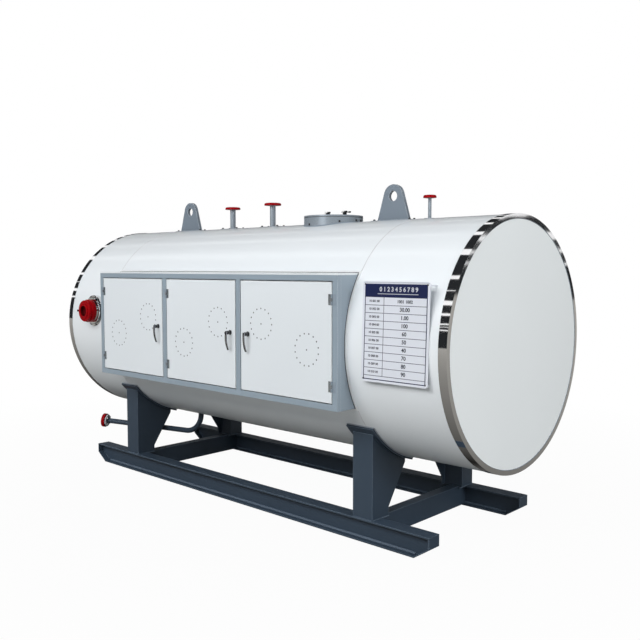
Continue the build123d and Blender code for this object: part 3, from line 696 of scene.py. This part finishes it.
header_print = bmesh.new()
printed_number(header_print, HEADER_NUMBERS, *HEADER_PLACE, HEADER_SIZE)
print_bar(header_print, *UNDERLINE)
bmesh.ops.translate(header_print, verts=header_print.verts, vec=(0, 0, PRINT_THICK))
on_plate("plate_header_print", header_print, PRINT_WHITE)

row_print = bmesh.new()
for row, words in enumerate(ROW_NUMBERS):
    level = HEADER_FOOT - (row + 0.5) * ROW_HEIGHT
    number_size = ROW_NUMBER_SIZE if row else FIRST_NUMBER_SIZE
    printed_number(row_print, words, ROW_NUMBER_X, level, number_size)
    printed_number(row_print, "10 0%02d 00" % (row + 1), ROW_LABEL_X, level, ROW_LABEL_SIZE)
on_plate("plate_row_print", row_print, PRINT_INK)

plate_screw = mould(button_screw(radius=0.0055, rise=0.0028))
screw_x = (plate_high.x - plate_low.x) / 2 - PLATE_SCREW_INSET
screw_z = PLATE_HALF_HEIGHT - PLATE_SCREW_INSET
on_plate("plate_screws", stamped(plate_screw, [at(sx * screw_x, sz * screw_z, 0)
                                               for sx in (-1, 1) for sz in (-1, 1)]),
         BLACK_OXIDE)

# Crown: a pad with four bolts under each of two pipe stubs
PAD_LENGTH = 0.200
PAD_WIDTH = 0.090
PAD_SHEET = 0.0028
PAD_EASE = 0.0008
PAD_BOLT_X = 0.082
PAD_BOLT_Y = 0.034
collar_low, collar_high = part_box("pipe_collars")
STUB_Y = (collar_low.y + collar_high.y) / 2
STUB_X = ((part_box("top_cap_left")[0].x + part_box("top_cap_left")[1].x) / 2,
          (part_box("top_cap_middle")[0].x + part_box("top_cap_middle")[1].x) / 2)
foot_pads = bmesh.new()
for stub_x in STUB_X:
    pad = bevelled_block((PAD_LENGTH, PAD_WIDTH, 2 * PAD_SHEET), PAD_EASE, segments=1)
    across_edges = [edge for edge in pad.edges
                    if abs(edge.verts[0].co.y - edge.verts[1].co.y) > PAD_WIDTH / 2]
    bmesh.ops.subdivide_edges(pad, edges=across_edges, cuts=5, use_grid_fill=True)
    bmesh.ops.translate(pad, verts=pad.verts, vec=(stub_x, STUB_Y, 0))
    drape(pad)
    stamp(foot_pads, mould(pad), [Matrix.Identity(4)])
finished("stub_foot_pads", foot_pads, FITTING_GREY)

# Crown: bolts on those pads and at the ends of the lifting lugs
LUG_BOLT_Y = 0.026
LUG_BOLT_REACH = 0.017
crown_bolt = mould(hex_bolt(across=0.013, head=0.0065, washer=0.002, shank=0.004))
crown_bolts = []
for stub_x in STUB_X:
    for sx in (-1, 1):
        for sy in (-1, 1):
            y = STUB_Y + sy * PAD_BOLT_Y
            crown_bolts.append(at(stub_x + sx * PAD_BOLT_X, y, crown_height(y) + PAD_SHEET))
for side in ("left", "right"):
    lug_low, lug_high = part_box("lifting_lug_" + side)
    lug_y = (lug_low.y + lug_high.y) / 2
    for bolt_x in (lug_low.x - LUG_BOLT_REACH, lug_high.x + LUG_BOLT_REACH):
        crown_bolts += [at(bolt_x, lug_y + sy * LUG_BOLT_Y, lug_low.z) for sy in (-1, 1)]
finished("crown_bolts", stamped(crown_bolt, crown_bolts), BLACK_OXIDE)

# Round cover: a bead and clips at its neck's foot, a gasket under its lid, and its latches
neck_low, neck_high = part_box("cover_neck")
NECK_X = (neck_low.x + neck_high.x) / 2
NECK_RADIUS = (neck_high.x - neck_low.x) / 2
# outlines as their reach from the neck's wall and their height
NECK_BEAD = ((-0.001, 0.007), (0.002, 0.006), (0.006, 0.002), (0.009, -0.003), (-0.001, -0.003))
LID_GASKET = ((-0.002, -0.0025), (0.0008, -0.0025), (0.0008, 0.0015), (-0.002, 0.0015))


def neck_ring(outline, height):
    """A ring turned round the neck's wall at a height."""
    ring = turned([(NECK_RADIUS + reach, rise) for reach, rise in outline], steps=120, ring=True)
    bmesh.ops.translate(ring, verts=ring.verts, vec=(NECK_X, STUB_Y, height))
    return ring


neck_bead = neck_ring(NECK_BEAD, 0)
drape(neck_bead)
finished("neck_bead", neck_bead, SEALANT_GREY, sharp=60)
finished("lid_gasket", neck_ring(LID_GASKET, neck_high.z), SEAL_DARK, sharp=60)

CLIP_ANGLES = (-101, -37, 0, 17, 40)
CLIP_RISE = 0.016
CLIP_SIZE = (0.012, 0.014, 0.011)
clip_block = mould(bevelled_block(CLIP_SIZE, 0.0015))
clips = []
for angle in CLIP_ANGLES:
    turn = math.radians(angle)
    place = Vector((NECK_X + NECK_RADIUS * math.cos(turn),
                    STUB_Y + NECK_RADIUS * math.sin(turn), 0))
    place.z = crown_height(place.y) + CLIP_RISE
    clips.append(facing((math.cos(turn), math.sin(turn), 0), place))
finished("neck_clips", stamped(clip_block, clips), BLACK_OXIDE)

latch_low, latch_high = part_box("cover_latches")
latch_y = (latch_low.y + latch_high.y) / 2
LATCH_INSET = 0.023
LATCH_X = (latch_low.x + LATCH_INSET, latch_high.x - LATCH_INSET)
EASED_EDGE = 0.002
# sizes, and offsets from a latch's middle and from its foot or its top
BLOCK_SIZE = (0.021, 0.020, 0.020)
BLOCK_OFFSET = (0.016, -0.014, 0.018)
SLEEVE_SIZE = (0.027, 0.014, 0.015)
SLEEVE_OFFSET = (-0.010, 0, -0.0075)
PIN_OUTLINE = [(0, 0.036), (0.004, 0.036), (0.006, 0.033), (0.006, 0.020), (0.0035, 0.019),
               (0.0035, 0.0), (0, 0.0)]
PIN_OFFSET = (0.022, 0, -0.010)


def on_latches(size, offset, level):
    """The same small block on both latches."""
    return stamped(mould(bevelled_block(size, EASED_EDGE)),
                   [at(x + offset[0], latch_y + offset[1], level + offset[2]) for x in LATCH_X])


finished("latch_blocks", on_latches(BLOCK_SIZE, BLOCK_OFFSET, latch_low.z), BLACK_KNOB)
finished("latch_sleeves", on_latches(SLEEVE_SIZE, SLEEVE_OFFSET, latch_high.z), BRIGHT_ZINC)
pin_start = Vector((LATCH_X[1], latch_y, latch_high.z)) + Vector(PIN_OFFSET)
latch_pin = moved(turned(PIN_OUTLINE, steps=12), facing((1, 0, 0), pin_start))
finished("latch_pin", latch_pin, BLACK_KNOB)

# Side nozzle: bolts on its ring, the cap's pull tab, and a dark liner in the cap's hollow that is
# painted shade
nozzle_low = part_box("side_nozzle")[0]
cap_low, cap_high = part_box("side_nozzle_cap")
cap_middle = (cap_low + cap_high) / 2
NOZZLE_RING_BACK = 0.025
NOZZLE_BOLT_CIRCLE = 0.113
NOZZLE_BOLTS = 10
nozzle_bolt = mould(hex_bolt(across=0.010, head=0.0055, washer=0.0016, shank=0.002))
ring_middle = Vector((cap_middle.x, nozzle_low.y + NOZZLE_RING_BACK, cap_middle.z))
ring_bolts = ring_places(ring_middle, NOZZLE_BOLT_CIRCLE, NOZZLE_BOLTS, start=0.5)
finished("nozzle_bolts", stamped(nozzle_bolt, ring_bolts), BLACK_OXIDE)

TAB_SIZE = (0.022, 0.010, 0.016)
TAB_OUT = 0.006
TAB_BACK = 0.012
pull_tab = moved(bevelled_block(TAB_SIZE, EASED_EDGE),
                 at(cap_low.x - TAB_OUT, cap_low.y + TAB_BACK, cap_middle.z))
finished("cap_pull_tab", pull_tab, BLACK_KNOB)

# a thin dark cup lining the cap's hollow: painted shade
HOLLOW_RADIUS = 0.0428
HOLLOW_DEPTH = 0.0296
HOLLOW_MOUTH = 0.004
HOLLOW_SKIN = 0.0006
HOLLOW_TAPER = 0.0004
HOLLOW_CORNER = 0.002
hollow = turned([
    (0, -HOLLOW_DEPTH),
    (HOLLOW_RADIUS - HOLLOW_CORNER, -HOLLOW_DEPTH),
    (HOLLOW_RADIUS, -HOLLOW_DEPTH + HOLLOW_CORNER),
    (HOLLOW_RADIUS, -HOLLOW_MOUTH),
    (HOLLOW_RADIUS - HOLLOW_TAPER, -HOLLOW_MOUTH),
    (HOLLOW_RADIUS - HOLLOW_SKIN, -HOLLOW_DEPTH + HOLLOW_CORNER + HOLLOW_TAPER),
    (HOLLOW_RADIUS - HOLLOW_CORNER - HOLLOW_TAPER, -HOLLOW_DEPTH + HOLLOW_SKIN),
    (0, -HOLLOW_DEPTH + HOLLOW_SKIN),
], steps=48)
hollow_place = facing(FRONT, (cap_middle.x, cap_low.y, cap_middle.z))
finished("side_cap_shade_liner", moved(hollow, hollow_place), CAP_SHADE_LINER)

# Drain: a jointing ring and bolts behind the capped flange
DRAIN_YAW = math.radians(34)
DRAIN_CLIMB = math.radians(5)
DRAIN_CAP_BACK = 0.004
DRAIN_RING = [(0.0215, -0.012), (0.048, -0.012), (0.050, -0.014), (0.050, -0.022),
              (0.048, -0.024), (0.0215, -0.024)]
DRAIN_BOLT_CIRCLE = 0.0375
DRAIN_BOLTS = 4
drain_out = Vector((-math.cos(DRAIN_YAW) * math.cos(DRAIN_CLIMB),
                    -math.sin(DRAIN_YAW) * math.cos(DRAIN_CLIMB), math.sin(DRAIN_CLIMB)))
drain_low, drain_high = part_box("drain_cap")
drain_end = facing(drain_out, (drain_low + drain_high) / 2 - DRAIN_CAP_BACK * drain_out)
drain_ring = moved(turned(DRAIN_RING, steps=40, ring=True), drain_end)
finished("drain_joint_ring", drain_ring, GASKET_GREY)
drain_bolt = moved(hex_bolt(across=0.011, head=0.007, washer=0.002, shank=0.002),
                   facing((0, 0, -1), (DRAIN_BOLT_CIRCLE, 0, DRAIN_RING[-1][1])))
drain_turns = [math.tau * (count + 0.5) / DRAIN_BOLTS for count in range(DRAIN_BOLTS)]
finished("drain_bolts", stamped(mould(drain_bolt), [
    drain_end @ Matrix.Rotation(turn, 4, "Z") for turn in drain_turns]), BRIGHT_ZINC)

# Saddle seals: a bead round each pad where it meets the barrel, light grey as a painted highlight
# on the pad's edge
PAD_TIP_ANGLE = 14.5
PAD_END_ANGLE = 49.5
PAD_HALF_LENGTH = 0.1035
SADDLE_BEAD = 0.005
SADDLE_RADIUS = BARREL_RADIUS + 0.001
seals = bmesh.new()
for leg in ("leg_front_left", "leg_front_right"):
    leg_low, leg_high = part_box(leg)
    pad_x = (leg_low.x + leg_high.x) / 2
    for turn in (-1, 1):
        for sx in (-1, 1):
            hoop(seals, pad_x + sx * PAD_HALF_LENGTH, SADDLE_RADIUS, SADDLE_BEAD,
                 start=90 + turn * PAD_TIP_ANGLE, sweep=turn * (PAD_END_ANGLE - PAD_TIP_ANGLE),
                 steps=24)
        for angle in (PAD_TIP_ANGLE, PAD_END_ANGLE):
            lean = Matrix.Rotation(math.radians(turn * angle), 4, "X")
            straight_bead(seals, SADDLE_BEAD, 2 * PAD_HALF_LENGTH,
                          at(pad_x, BARREL_Y, BARREL_Z) @ lean @ at(0, 0, -SADDLE_RADIUS))
finished("saddle_seals", seals, PAD_EDGE_HIGHLIGHT, sharp=60)

# Girder fillets: a fine fillet along the foot of each web, in a slate lighter than the girder's as
# a painted highlight
FILLET = 0.009
FLANGE_SHEET = 0.009
WEB_HALF = 0.004
FILLET_INSET = 0.12
girder_fillets = bmesh.new()
for name in ("skid_front", "skid_rear"):
    low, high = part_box(name)
    web_y = (low.y + high.y) / 2
    for face in (-1, 1):
        corner = bmesh.new()
        corner.faces.new([corner.verts.new(place)
                          for place in ((0, 0, 0), (0, FILLET, 0), (0, 0, FILLET))])
        grown = bmesh.ops.extrude_face_region(corner, geom=corner.faces[:])["geom"]
        bmesh.ops.translate(corner, vec=(high.x - low.x - 2 * FILLET_INSET, 0, 0),
                            verts=[item for item in grown if isinstance(item, bmesh.types.BMVert)])
        foot = at(low.x + FILLET_INSET, web_y + face * WEB_HALF, FLANGE_SHEET)
        stamp(girder_fillets, mould(corner), [foot @ Matrix.Scale(face, 4, (0, 1, 0))])
finished("girder_fillets", girder_fillets, SLATE_HIGHLIGHT)

# Welds: runs of small ripples where the steelwork is joined
WELD_PITCH = 0.0062
LEG_WELD_REACH = 0.155
RIPPLE = [(0, 0.0036), (0.003, 0.003), (0.0052, 0.0008), (0.0055, -0.003), (0, -0.0034)]
ripple = mould(turned(RIPPLE, steps=7))


def weld_places(start, end):
    """Places along a joint, one ripple after the other."""
    start, end = Vector(start), Vector(end)
    count = max(2, int((end - start).length / WELD_PITCH))
    return [Matrix.Translation(start.lerp(end, step / (count - 1))) for step in range(count)]


leg_welds = []
for name in ("leg_front_left", "leg_front_right", "leg_rear_left", "leg_rear_right"):
    low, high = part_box(name)
    if name.startswith("leg_front"):
        outer_y, inner_y = low.y, low.y + LEG_WELD_REACH
    else:
        outer_y, inner_y = high.y, high.y - LEG_WELD_REACH
    for x in (low.x, high.x):
        leg_welds += weld_places((x, outer_y, low.z), (x, inner_y, low.z))
    leg_welds += weld_places((low.x, outer_y, low.z), (high.x, outer_y, low.z))
finished("leg_welds", stamped(ripple, leg_welds), SKID_SLATE, sharp=60)

lug_welds = []
for side in ("left", "right"):
    low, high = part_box("lifting_lug_" + side)
    for y in (low.y, high.y):
        lug_welds += weld_places((low.x, y, low.z), (high.x, y, low.z))
finished("lug_welds", stamped(ripple, lug_welds), FITTING_GREY, sharp=60)


# Studio

def glow(name, colour, strength):
    """A material that only shines."""
    lit = bpy.data.materials.new(name)
    lit.use_nodes = True
    made, links = lit.node_tree.nodes, lit.node_tree.links
    made.clear()
    out = made.new("ShaderNodeOutputMaterial")
    light = made.new("ShaderNodeEmission")
    light.inputs["Color"].default_value = (*colour, 1)
    light.inputs["Strength"].default_value = strength
    links.new(light.outputs["Emission"], out.inputs["Surface"])
    return lit


def mixed_shader(made, links, share, first, second):
    """One shader that gives way to another by a share."""
    mix = made.new("ShaderNodeMixShader")
    links.new(share, mix.inputs["Fac"])
    links.new(first, mix.inputs[1])
    links.new(second, mix.inputs[2])
    return mix.outputs["Shader"]


def stage_object(name, mesh_builder, finish):
    """A piece of the studio, which isn't part of the boiler."""
    bm = bmesh.new()
    mesh_builder(bm)
    mesh = bpy.data.meshes.new(name)
    bm.to_mesh(mesh)
    bm.free()
    mesh.materials.append(finish)
    thing = bpy.data.objects.new(name, mesh)
    scene.collection.objects.link(thing)
    return thing


def only_in_reflections(thing):
    """Hides a board from all but what mirrors it."""
    thing.visible_camera = False
    thing.visible_diffuse = False
    thing.visible_shadow = False
    thing.visible_transmission = False
    thing.visible_volume_scatter = False


def flat_sheet(bm, half_size=1.0, place=Matrix.Identity(4)):
    """One square face."""
    return bmesh.ops.create_grid(bm, x_segments=1, y_segments=1, size=half_size,
                                 matrix=place)["verts"]


def upright_sheet(bm, place, width, height):
    """One upright face across the Y axis."""
    flat_sheet(bm, 1.0, at(*place) @ Matrix.Rotation(math.pi / 2, 4, "X")
               @ Matrix.Diagonal((width / 2, height / 2, 1, 1)))


# The floor: white to the camera but for the shadow, and warm where gloss mirrors it, with a
# painted shadow dimming it along its middle
FLOOR_HALF = 40.0
FLOOR_TONE = (0.36, 0.36, 0.35)
FLOOR_FADE = (1.5, 5.0)
FLOOR_WHITE_NEAR = 0.965
MIRRORED_TONE = (1.0, 0.97, 0.90)
# the floor's glow in reflections, dim on its middle line as a painted shadow and bright far off,
# and the distance where it is halfway
MIRRORED_GLOW = (0.012, 0.42)
MIRRORED_HALFWAY = 1.9


def studio_floor_finish():
    finish, made, links, shader = new_finish("studio_floor")
    shader.inputs["Base Color"].default_value = (*FLOOR_TONE, 1)
    shader.inputs["Roughness"].default_value = 0.9
    shader.inputs["Specular IOR Level"].default_value = 0.1
    light_path = made.new("ShaderNodeLightPath")
    place = made.new("ShaderNodeTexCoord").outputs["Object"]
    reach = made.new("ShaderNodeVectorMath")
    reach.operation = "LENGTH"
    links.new(place, reach.inputs[0])
    whiter = spread(made, links, reach.outputs["Value"], *FLOOR_FADE, FLOOR_WHITE_NEAR, 1.0)
    shown = reckoned(made, links, "MULTIPLY", light_path.outputs["Is Camera Ray"], whiter)
    white = made.new("ShaderNodeEmission")
    white.inputs["Strength"].default_value = 1.0
    # for gloss the floor glows dim near its middle line and brighter away from it: a painted
    # shadow of the boiler, as mirrors see it
    aside = reckoned(made, links, "ABSOLUTE", parted(made, links, place, "Y"))
    farther = reckoned(made, links, "ADD", aside, MIRRORED_HALFWAY)
    far_share = reckoned(made, links, "DIVIDE", aside, farther)
    mirrored = made.new("ShaderNodeEmission")
    mirrored.inputs["Color"].default_value = (*MIRRORED_TONE, 1)
    links.new(spread(made, links, far_share, 0.0, 1.0, *MIRRORED_GLOW),
              mirrored.inputs["Strength"])
    plain_or_mirrored = mixed_shader(made, links, light_path.outputs["Is Glossy Ray"],
                                     shader.outputs["BSDF"], mirrored.outputs["Emission"])
    links.new(mixed_shader(made, links, shown, plain_or_mirrored, white.outputs["Emission"]),
              made["Material Output"].inputs["Surface"])
    return finish


stage_object("studio_floor", lambda bm: flat_sheet(bm, FLOOR_HALF), studio_floor_finish())

# The world: soft sky on the object, plain white for the camera, for gloss and for glass
SKY_TONE = (0.93, 0.965, 1.0)
SKY_LOW = 0.235
SKY_HIGH = 0.35


def studio_world():
    world = bpy.data.worlds.new("studio_world")
    world.use_nodes = True
    made, links = world.node_tree.nodes, world.node_tree.links
    made.clear()
    soft = made.new("ShaderNodeBackground")
    soft.inputs["Color"].default_value = (*SKY_TONE, 1)
    height = parted(made, links, made.new("ShaderNodeTexCoord").outputs["Generated"], "Z")
    links.new(spread(made, links, height, 0.0, 1.0, SKY_LOW, SKY_HIGH), soft.inputs["Strength"])
    plain = made.new("ShaderNodeBackground")
    plain.inputs["Color"].default_value = (1, 1, 1, 1)
    plain.inputs["Strength"].default_value = 1.0
    light_path = made.new("ShaderNodeLightPath")
    seen = reckoned(made, links, "MAXIMUM", light_path.outputs["Is Camera Ray"],
                    light_path.outputs["Is Glossy Ray"])
    seen = reckoned(made, links, "MAXIMUM", seen, light_path.outputs["Is Transmission Ray"])
    out = made.new("ShaderNodeOutputWorld")
    links.new(mixed_shader(made, links, seen, soft.outputs["Background"],
                           plain.outputs["Background"]), out.inputs["Surface"])
    return world


scene.world = studio_world()

# The hall that bright metal mirrors: dark boards overhead, rows of tube lamps and two boards
HALL_HALF = 26.0
HALL_HEIGHT = 7.0
HALL_FOOT = 0.4
LAMP_DROP = 0.05
# each lamp row as its y and its width
LAMP_ROWS = ((-24.0, 1.6), (-19.8, 0.5), (-17.1, 1.2), (-11.3, 1.0), (-7.75, 1.05),
             (-5.3, 0.14), (-3.4, 0.45), (-0.48, 0.67),
             (2.12, 0.57), (4.66, 0.6), (8.0, 1.2), (13.0, 1.4))
BACK_X = 13
BACK_Y = 20
BACK_WIDTH = 22.0
# each strip of the board behind as its height over the floor and its own height
BACK_STRIPS = ((1.75, 0.10), (2.2, 0.12), (2.7, 0.22), (3.5, 0.25), (4.6, 0.35), (6.0, 0.45))
FRONT_BOARD_PLACE = (0, -18, 3.2)
FRONT_BOARD_SIZE = (6.4, 6.0)


def hall_boards(bm):
    flat_sheet(bm, HALL_HALF, at(0, 0, HALL_HEIGHT))
    walls = bmesh.ops.extrude_edge_only(bm, edges=bm.edges[:])["geom"]
    corners = [item for item in walls if isinstance(item, bmesh.types.BMVert)]
    bmesh.ops.translate(bm, verts=corners, vec=(0, 0, HALL_FOOT - HALL_HEIGHT))


def lamp_rows(bm):
    for row_y, width in LAMP_ROWS:
        row = flat_sheet(bm)
        bmesh.ops.scale(bm, verts=row, vec=(HALL_HALF - 1, width / 2, 1))
        bmesh.ops.translate(bm, verts=row, vec=(0, row_y, HALL_HEIGHT - LAMP_DROP))


def back_board(bm):
    for height, width in BACK_STRIPS:
        upright_sheet(bm, (BACK_X, BACK_Y, height), BACK_WIDTH, width)


def front_board(bm):
    upright_sheet(bm, FRONT_BOARD_PLACE, *FRONT_BOARD_SIZE)


HALL_TONE = (0.30, 0.32, 0.35)
PURE_WHITE = (1.0, 1.0, 1.0)
for name, board, light in (
    ("hall_boards", hall_boards, glow("hall_dark", HALL_TONE, strength=0.07)),
    ("lamp_rows", lamp_rows, glow("lamp_white", PURE_WHITE, strength=1.05)),
    ("back_board", back_board, glow("back_strips", PURE_WHITE, strength=1.0)),
    ("front_board", front_board, glow("board_white", PURE_WHITE, strength=2.0)),
):
    only_in_reflections(stage_object(name, board, light))


# Lamps and camera

def soft_lamp(name, place, target, width, height, power):
    """A soft box that lights the object and isn't seen itself."""
    data = bpy.data.lights.new(name, "AREA")
    data.shape = "RECTANGLE"
    data.size = width
    data.size_y = height
    data.energy = power
    lamp = bpy.data.objects.new(name, data)
    lamp.location = place
    aim = Vector(target) - Vector(place)
    lamp.rotation_euler = aim.to_track_quat("-Z", "Y").to_euler()
    scene.collection.objects.link(lamp)
    lamp.visible_camera = False
    lamp.visible_glossy = False


soft_lamp("front_lamp", place=(-0.2, -8.0, 6.0), target=(-0.6, 0, 1.1),
          width=9.5, height=3.4, power=755)
soft_lamp("end_lamp", place=(8.4, -1.1, 3.2), target=(1.86, 0, 1.1),
          width=2.6, height=2.6, power=285)

LENS_MM = 43.26
CAMERA_PLACE = (4.0223, -3.9678, 1.6298)
CAMERA_DOWN = 3.872
CAMERA_TURN = 42.874
camera_data = bpy.data.cameras.new("camera")
camera_data.sensor_width = 36
camera_data.lens = LENS_MM
camera_data.clip_end = 200
camera = bpy.data.objects.new("camera", camera_data)
camera.location = CAMERA_PLACE
camera.rotation_euler = (math.radians(90 - CAMERA_DOWN), 0, math.radians(CAMERA_TURN))
scene.collection.objects.link(camera)
scene.camera = camera
scene.view_settings.view_transform = "Standard"
